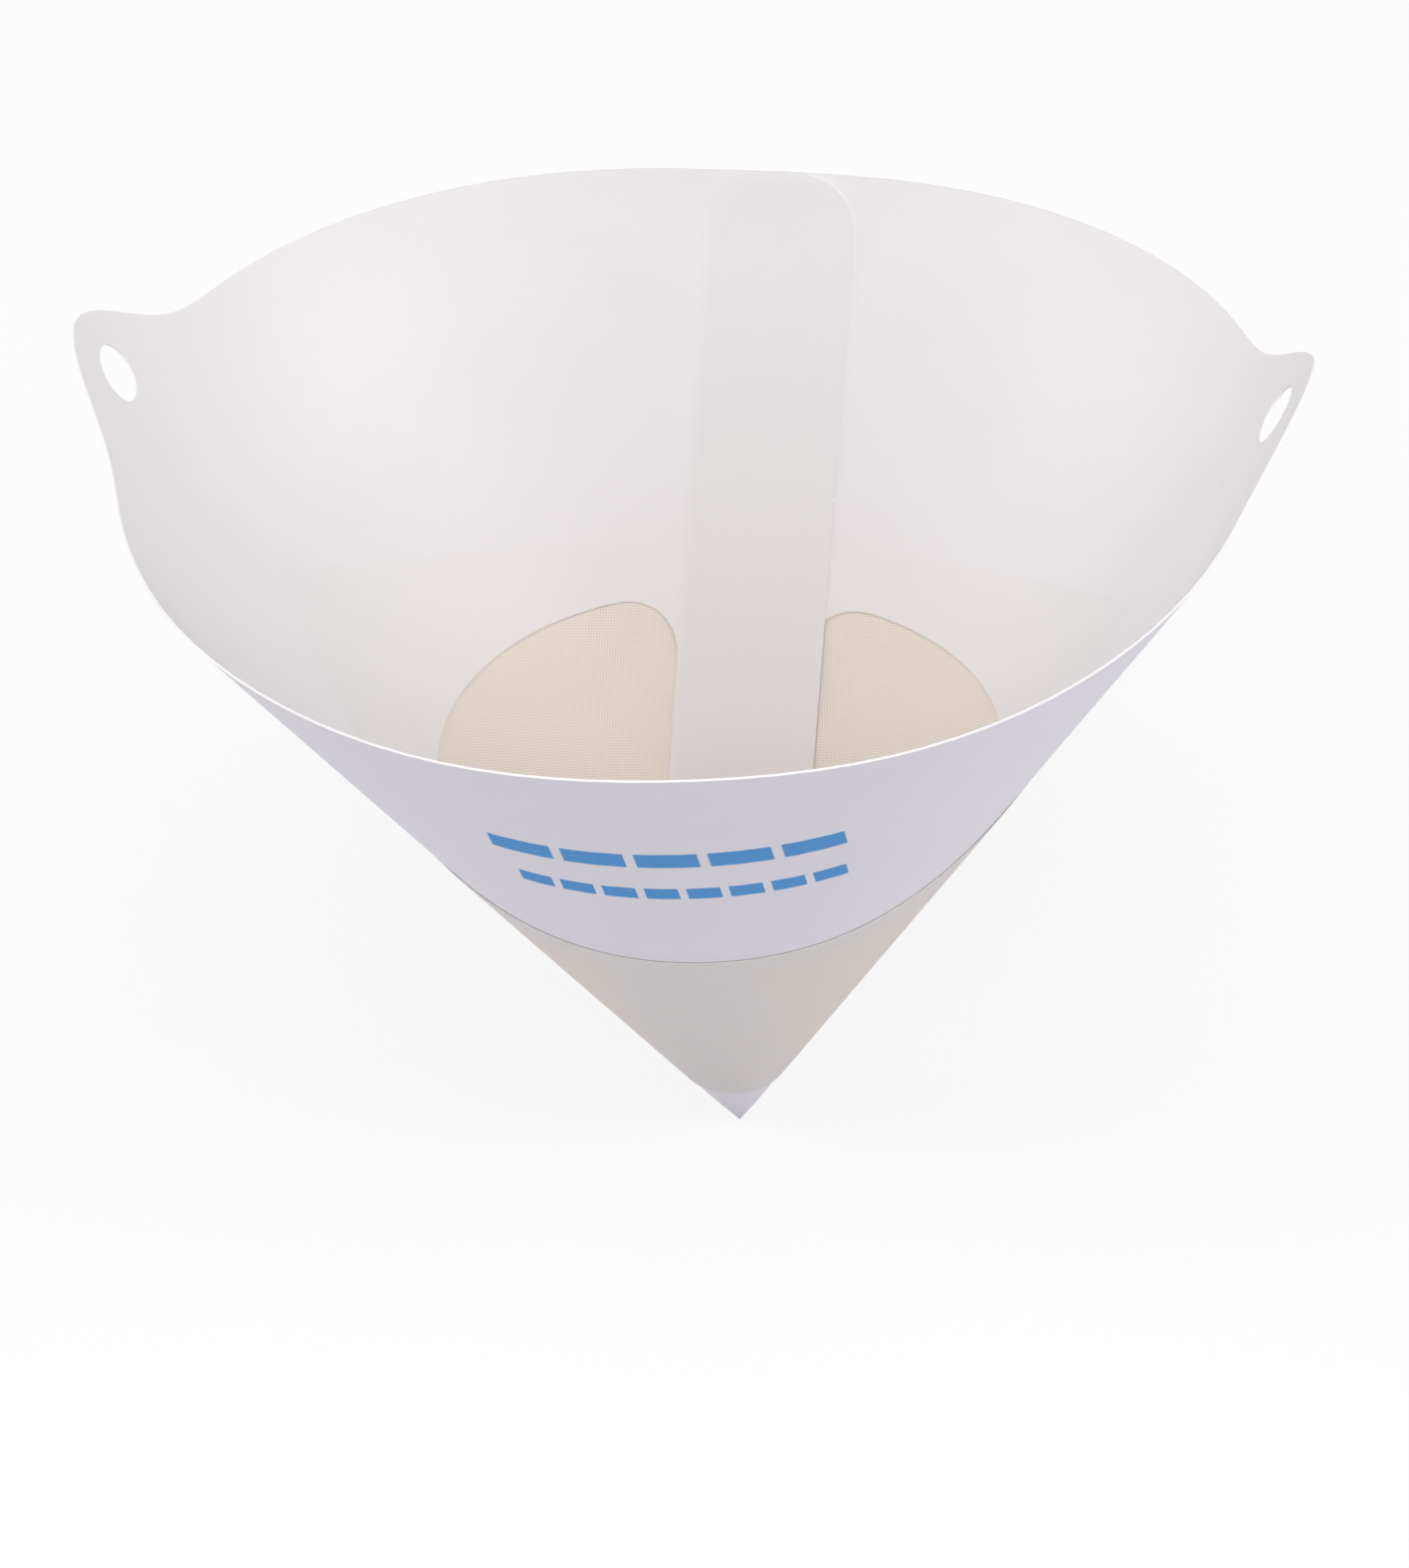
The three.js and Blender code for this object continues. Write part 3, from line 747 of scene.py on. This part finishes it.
@dataclass(frozen=True)
class PaperFinish:
    """Uncoated white card: a faint cloudiness, a fine felt grain, painted shade on the double layers, along
    the folds and where gauze lies behind, a painted highlight on the cut edge and a faint lavender tint of
    painted cool shade outside.
    """

    blank: Blank
    cut: GauzeCut
    inside: Colour = srgb(239, 236, 237)
    inside_cloud: Colour = srgb(233, 230, 231)
    # Painted shade on the double layer of the seam and along the folds.
    painted_seam_and_crease_shade: Colour = srgb(231, 228, 228)
    # Painted shade, slightly warm, where gauze lies behind the paper.
    painted_backing_shade: Colour = srgb(235, 232, 231)
    # The outside colours are the paper's white with a faint lavender tint that paints the cool shade on the
    # outside.
    outside: Colour = srgb(238, 234, 237)
    outside_cloud: Colour = srgb(233, 229, 233)
    # The paper's white cut edge, painted brighter than the faces as a highlight along the rim.
    edge: Colour = srgb(252, 251, 250)
    ink: Colour = srgb(72, 152, 214)
    dashes: tuple[DashRow, ...] = (
        DashRow(118.2, 123.4, -18.0, 25.0, 5, 0.14),
        DashRow(105.4, 109.6, -16.0, 24.0, 8, 0.2),
    )
    cloud_cells: float = 38.0
    grain_cells: float = 2600.0
    felt_cells: float = 700.0
    wear_cells: float = 900.0
    grain_strength: float = 0.16
    grain_depth: float = 0.03 * MM
    roughness: float = 0.7
    roughness_swing: float = 0.14
    crease_half_width: float = 0.45

    def book(self, name: str) -> tuple[NodeBook, Wire, dict[str, Any]]:
        """Starts a paper material with its cloudiness, its grain and its roughness."""
        nodes = NodeBook(name)
        cloud = nodes.noise(self.cloud_cells, 3.0, 0.55)
        grain = nodes.noise(self.grain_cells, 4.0, 0.65)
        felt = nodes.noise(self.felt_cells, 3.0, 0.6)
        normal = nodes.bump(grain * 0.6 + felt * 0.4, self.grain_strength, self.grain_depth)
        roughness = self.roughness + self.roughness_swing * grain
        return nodes, cloud, {"Roughness": roughness, "Normal": normal, "Specular IOR Level": 0.3}

    def seam_shade_mask(self, across: Wire, along: Wire) -> Wire:
        """Mask of the double layer on the flap, with the lap's rounded corner behind it, where painted shade
        goes.

        Args:
            across: Place across the flat sheet in millimetres.
            along: Place along the flat sheet in millimetres.

        Returns:
            The mask.
        """
        form, blank = self.blank.form, self.blank
        angle = form.back_middle - blank.seam_lean - form.whole - form.front_middle
        half, corner = blank.seam_width / 2 / MM, blank.seam_corner / MM
        rim_radius = blank.rim_place(half * MM, 0.0, 0)[1]
        top = math.sqrt(rim_radius**2 - (blank.seam_offset + half * MM) ** 2) / MM
        from_middle = across * math.cos(angle) - along * math.sin(angle) - blank.seam_offset / MM
        height = across * math.sin(angle) + along * math.cos(angle)
        beside = from_middle.maths("MAXIMUM", from_middle - (half - corner), 0.0)
        above = height.maths("MAXIMUM", height - (top - corner), 0.0)
        from_corner = beside.maths("SQRT", beside * beside + above * above)
        return from_corner.below(corner, 2.2) * from_middle.above(-half, 0.3) * height.above(1.0, 1.0)

    def backing_shade_mask(self, across: Wire, along: Wire) -> Wire:
        """Mask of the paper that has gauze behind it, where painted shade goes."""
        form = self.blank.form
        front_half = form.front_middle
        back_half = form.whole - form.back_middle
        height = self.cut.corner_radius / MM
        back_middle = back_half + front_half
        panels = ((0.0, front_half), (back_middle, back_half), (-back_middle, back_half))
        masks = []
        for middle, half in panels:
            reach = across * math.sin(middle) + along * math.cos(middle)
            masks.append(reach.below(height * math.cos(half), 0.8))
        return masks[0] * masks[1] * masks[2]

    def inside_paper(self) -> bpy.types.Material:
        """Paper seen from inside the cone, with painted shade on the seam, along the folds and where gauze
        lies behind it.
        """
        nodes, cloud, sockets = self.book("paper_inside")
        across, along = nodes.flat_place()
        colour = nodes.mixed(cloud, self.inside, self.inside_cloud)
        # painted shade where gauze lies behind the paper
        colour = nodes.mixed(self.backing_shade_mask(across, along) * 0.75, colour, self.painted_backing_shade)
        # painted shade on the double layer of the seam
        colour = nodes.mixed(self.seam_shade_mask(across, along), colour, self.painted_seam_and_crease_shade)
        # painted shade along the folds
        colour = nodes.mixed(self.crease_shade_mask(across, along) * 0.25, colour, self.painted_seam_and_crease_shade)
        return nodes.surface({"Base Color": colour, **sockets})

    def crease_shade_mask(self, across: Wire, along: Wire) -> Wire:
        """Mask of the faint fold from each ear to the tip, where painted shade goes."""
        angle = self.blank.form.front_middle
        masks = []
        for side in Side:
            distance = across * math.cos(angle) - along * (side.value * math.sin(angle))
            masks.append(abs(distance).below(self.crease_half_width, 0.5))
        return masks[0].maths("MAXIMUM", masks[0], masks[1])

    def print_mask(self, across: Wire, along: Wire) -> Wire:
        """Mask of the two rows of plain printed dashes on the front panel."""
        rows = []
        for row in self.dashes:
            pitch = (row.end - row.start) / row.count
            place = across.maths("FRACT", (across - row.start) / pitch)
            dash = abs(place - 0.5).below(0.5 - row.gap_share / 2, 0.02)
            inside = abs(across - (row.start + row.end) / 2).below((row.end - row.start) / 2, 0.1)
            band = abs(along - (row.low + row.high) / 2).below((row.high - row.low) / 2, 0.1)
            rows.append(dash * inside * band)
        return rows[0] + rows[1]

    def outside_paper(self) -> bpy.types.Material:
        """Paper seen from outside, tinted faintly lavender as painted cool shade, with the printed dashes."""
        nodes, cloud, sockets = self.book("paper_outside")
        across, along = nodes.flat_place()
        colour = nodes.mixed(cloud, self.outside, self.outside_cloud)
        # painted shade along the folds
        colour = nodes.mixed(self.crease_shade_mask(across, along) * 0.4, colour, self.painted_seam_and_crease_shade)
        wear = nodes.noise(self.wear_cells, 2.0, 0.5).above(0.3, 0.2) * 0.12
        ink = self.print_mask(across, along) * (0.86 + wear)
        return nodes.surface({"Base Color": nodes.mixed(ink, colour, self.ink), **sockets})

    def cut_edge(self) -> bpy.types.Material:
        """Cut edge of the paper, painted brighter than its faces as a highlight."""
        nodes, cloud, sockets = self.book("paper_edge_painted_highlight")
        return nodes.surface({"Base Color": nodes.mixed(cloud, self.edge, self.inside), **sockets})

    def dress(self, piece: bpy.types.Object, bender: SheetBender) -> None:
        """Gives each face of the paper its own finish."""
        piece.data.materials.clear()
        for material in (self.inside_paper(), self.outside_paper(), self.cut_edge()):
            piece.data.materials.append(material)
        for polygon in piece.data.polygons:
            polygon.material_index = bender.face_kind(polygon).value


@dataclass(frozen=True)
class GauzeFinish:
    """Fine plain-woven gauze, beige and matt, with painted shade between its threads and a painted paler tint
    where white paper lies behind its pores.
    """

    blank: Blank
    thread: Colour = srgb(243, 234, 224)
    # Painted shade between the threads, also mixed in as random tone.
    shade: Colour = srgb(237, 227, 216)
    # Painted light from the white paper behind the pores.
    on_paper: Colour = srgb(240, 236, 234)
    paper_light_share: float = 0.5
    pitch: float = 0.36
    pore_alpha: float = 0.72
    thread_alpha: float = 0.93
    cloud_cells: float = 55.0
    thread_bump: float = 0.15
    thread_depth: float = 0.04 * MM

    def material(self) -> bpy.types.Material:
        """Makes the woven material."""
        nodes = NodeBook("gauze_weave")
        across, along = nodes.flat_place()
        warp = self.thread_height(across)
        weft = self.thread_height(along)
        height = warp.maths("MAXIMUM", warp, weft)
        cloud = nodes.noise(self.cloud_cells, 3.0, 0.6)
        # painted shade between the threads, with random tone from the cloud
        share = (1 - height) * 0.75 + cloud * 0.25
        colour = nodes.mixed(share, self.thread, self.shade)
        # painted light from the white paper seen through the pores, kept off the windows
        on_paper = 1 - self.window_mask(across, along)
        colour = nodes.mixed(on_paper * self.paper_light_share, colour, self.on_paper)
        alpha = self.pore_alpha + (self.thread_alpha - self.pore_alpha) * height
        normal = nodes.bump(height, self.thread_bump, self.thread_depth)
        return nodes.surface(
            {
                "Base Color": colour,
                "Roughness": 0.82 - 0.1 * height,
                "Alpha": alpha,
                "Normal": normal,
                "Specular IOR Level": 0.25,
            }
        )

    def window_mask(self, across: Wire, along: Wire) -> Wire:
        """Mask of the gauze that covers a window of the paper.

        Args:
            across: Place across the flat sheet in millimetres.
            along: Place along the flat sheet in millimetres.

        Returns:
            The mask.
        """
        form, blank = self.blank.form, self.blank
        radius = across.maths("SQRT", across * across + along * along)
        masks = []
        for side in Side:
            turns_back = form.whole if side is Side.LEFT else 0.0
            seam = form.back_middle - blank.seam_lean - form.front_middle - turns_back
            from_middle = across * math.cos(seam) - along * math.sin(seam) - blank.seam_offset / MM
            beside = from_middle * -side.value
            strut = (across * side.value).above(blank.strut_width / 2 / MM, 0.6)
            masks.append(beside.above(blank.seam_width / 2 / MM, 0.6) * strut)
        ring = radius.below(blank.window_top / MM, 0.6) * radius.above(blank.window_low / MM, 0.6)
        return (masks[0] + masks[1]) * ring

    def thread_height(self, place: Wire) -> Wire:
        """Height across one set of threads, 1 on each thread's middle."""
        wave = place.maths("SINE", place * (math.tau / self.pitch))
        return 0.5 + 0.5 * wave


@dataclass
class PaperCone:
    """The rolled paper blank with its windows, ear holes and glued seam."""

    blank: Blank
    bender: SheetBender
    finish: PaperFinish

    def build(self) -> bpy.types.Object:
        """Makes and dresses the paper, which stands for the plain solid of the same part."""
        loops = [
            self.blank.outline(),
            self.blank.window(Side.LEFT),
            self.blank.window(Side.RIGHT),
            self.blank.ear_hole(self.blank.form.whole),
            self.blank.ear_hole(self.blank.form.whole + self.blank.form.right_crease),
        ]
        piece = self.bender.bend(
            "rolled_paper",
            loops,
            lambda angle, radius: -self.blank.sunk(angle, radius),
        )
        self.finish.dress(piece, self.bender)
        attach(piece, "root")
        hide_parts("paper_cone")
        return piece


@dataclass
class GauzeCover:
    """The gauze glued round the outside of the paper, over both windows."""

    cut: GauzeCut
    bender: SheetBender
    finish: GauzeFinish

    def build(self) -> bpy.types.Object:
        """Makes and dresses the gauze, and works out the size and area of its flat cut."""
        piece = self.bender.bend("window_gauze", [self.cut.outline()], self.cut.offset)
        piece.data.materials.clear()
        piece.data.materials.append(self.finish.material())
        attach(piece, "root")
        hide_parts("mesh_gauze")
        size, area = self.cut.flat_size(), self.cut.flat_area()
        return piece


@dataclass(frozen=True)
class SoftLamp:
    """One soft square lamp that shines at the part."""

    name: str
    place: tuple[float, float, float]
    size: float
    power: float

    def hang(self) -> None:
        """Hangs the lamp."""
        data = bpy.data.lights.new(self.name, "AREA")
        data.size = self.size
        data.energy = self.power
        data.color = LAMP_WHITE
        lamp = bpy.data.objects.new(self.name, data)
        place = Vector(self.place)
        lamp.matrix_world = Matrix.Translation(place) @ place.to_track_quat("Z", "Y").to_matrix().to_4x4()
        bpy.context.scene.collection.objects.link(lamp)


@dataclass
class Studio:
    """Pale floor, white surroundings and soft lamps."""

    floor_level: float
    floor_size: float = 6.0
    surroundings: Colour = (1.0, 1.0, 1.0, 1.0)
    ambient: Colour = (0.93, 0.95, 1.0, 1.0)
    ambient_strength: float = 0.35
    floor_colour: Colour = srgb(224, 224, 230)
    floor_white: float = 0.75
    lamps: tuple[SoftLamp, ...] = (
        SoftLamp("key_lamp", (0.1, -0.75, 1.4), 1.3, 13.6),
        SoftLamp("left_lamp", (-1.5, -0.2, 0.8), 1.2, 10.0),
        SoftLamp("right_lamp", (1.5, -0.2, 0.8), 1.2, 10.0),
    )

    def build(self) -> None:
        """Sets the floor, the world and the lamps."""
        self.floor()
        self.world()
        for lamp in self.lamps:
            lamp.hang()

    def floor(self) -> None:
        """Lays the pale floor under the tip."""
        mesh = bpy.data.meshes.new("studio_floor")
        bm = bmesh.new()
        bmesh.ops.create_grid(bm, x_segments=2, y_segments=2, size=self.floor_size / 2)
        bmesh.ops.translate(bm, verts=bm.verts, vec=(0, 0, self.floor_level))
        bm.to_mesh(mesh)
        bm.free()
        floor = bpy.data.objects.new("studio_floor", mesh)
        bpy.context.scene.collection.objects.link(floor)
        nodes = NodeBook("studio_floor")
        seen = nodes.node("ShaderNodeLightPath", {}, {}, "Is Camera Ray")
        colour = nodes.mixed(seen, self.floor_colour, self.surroundings)
        matt = nodes.node("ShaderNodeBsdfDiffuse", {}, {"Color": colour})
        white = nodes.node("ShaderNodeEmission", {}, {"Color": self.surroundings, "Strength": 1.0})
        mixed = nodes.node("ShaderNodeMixShader", {}, {0: seen * self.floor_white, 1: matt, 2: white})
        nodes.node_output(mixed)
        floor.data.materials.append(nodes.material)
        floor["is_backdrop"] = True

    def world(self) -> None:
        """Lights softly from all round, and shows white to the camera and in gloss."""
        world = bpy.data.worlds.new("studio_world")
        world.use_nodes = True
        bpy.context.scene.world = world
        nodes, links = world.node_tree.nodes, world.node_tree.links
        nodes.clear()
        path = nodes.new("ShaderNodeLightPath")
        seen = path.outputs["Is Camera Ray"]
        for name in ("Is Glossy Ray", "Is Transmission Ray"):
            either = nodes.new("ShaderNodeMath")
            either.operation = "MAXIMUM"
            links.new(seen, either.inputs[0])
            links.new(path.outputs[name], either.inputs[1])
            seen = either.outputs[0]
        light, white = nodes.new("ShaderNodeBackground"), nodes.new("ShaderNodeBackground")
        light.inputs["Color"].default_value = self.ambient
        light.inputs["Strength"].default_value = self.ambient_strength
        white.inputs["Color"].default_value = self.surroundings
        choice = nodes.new("ShaderNodeMixShader")
        links.new(seen, choice.inputs[0])
        links.new(light.outputs[0], choice.inputs[1])
        links.new(white.outputs[0], choice.inputs[2])
        output = nodes.new("ShaderNodeOutputWorld")
        links.new(choice.outputs[0], output.inputs["Surface"])


@dataclass(frozen=True)
class Viewpoint:
    """Camera at the photograph's angle."""

    place: tuple[float, float, float] = (0.091848, -0.555014, 0.500753)
    aim: tuple[float, float, float] = (-0.0016, -0.00027, -0.017965)
    roll: float = math.radians(-3.949)
    lens: float = 138.316
    sensor: float = 36.0

    def build(self) -> None:
        """Sets the camera up and gives it to the scene."""
        data = bpy.data.cameras.new("photo_camera")
        data.lens = self.lens
        data.sensor_width = self.sensor
        camera = bpy.data.objects.new("photo_camera", data)
        towards = Vector(self.aim) - Vector(self.place)
        turned = towards.to_track_quat("-Z", "Y").to_matrix().to_4x4() @ Matrix.Rotation(self.roll, 4, "Z")
        camera.matrix_world = Matrix.Translation(self.place) @ turned
        bpy.context.scene.collection.objects.link(camera)
        bpy.context.scene.camera = camera


def main() -> None:
    """Builds the camera, the dressed part and the studio in order."""
    logging.basicConfig(level=logging.INFO, format="%(name)s: %(message)s")
    cad_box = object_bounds()
    bpy.context.scene.view_settings.view_transform = "Standard"
    Viewpoint().build()
    LOG.info("camera set at the photograph's angle")
    form = ConeForm()
    blank = Blank(form)
    cut = GauzeCut(blank)
    cone = PaperCone(blank, SheetBender(form, PAPER_LAYER), PaperFinish(blank, cut))
    LOG.info("%s: %d faces", "rolled_paper", len(cone.build().data.polygons))
    cover = GauzeCover(cut, SheetBender(form, GAUZE_LAYER), GauzeFinish(blank))
    LOG.info("%s: %d faces", "window_gauze", len(cover.build().data.polygons))
    Studio(floor_level=cad_box[0][2]).build()
    LOG.info("floor, surroundings and lamps set")


if __name__ == "__main__":
    main()
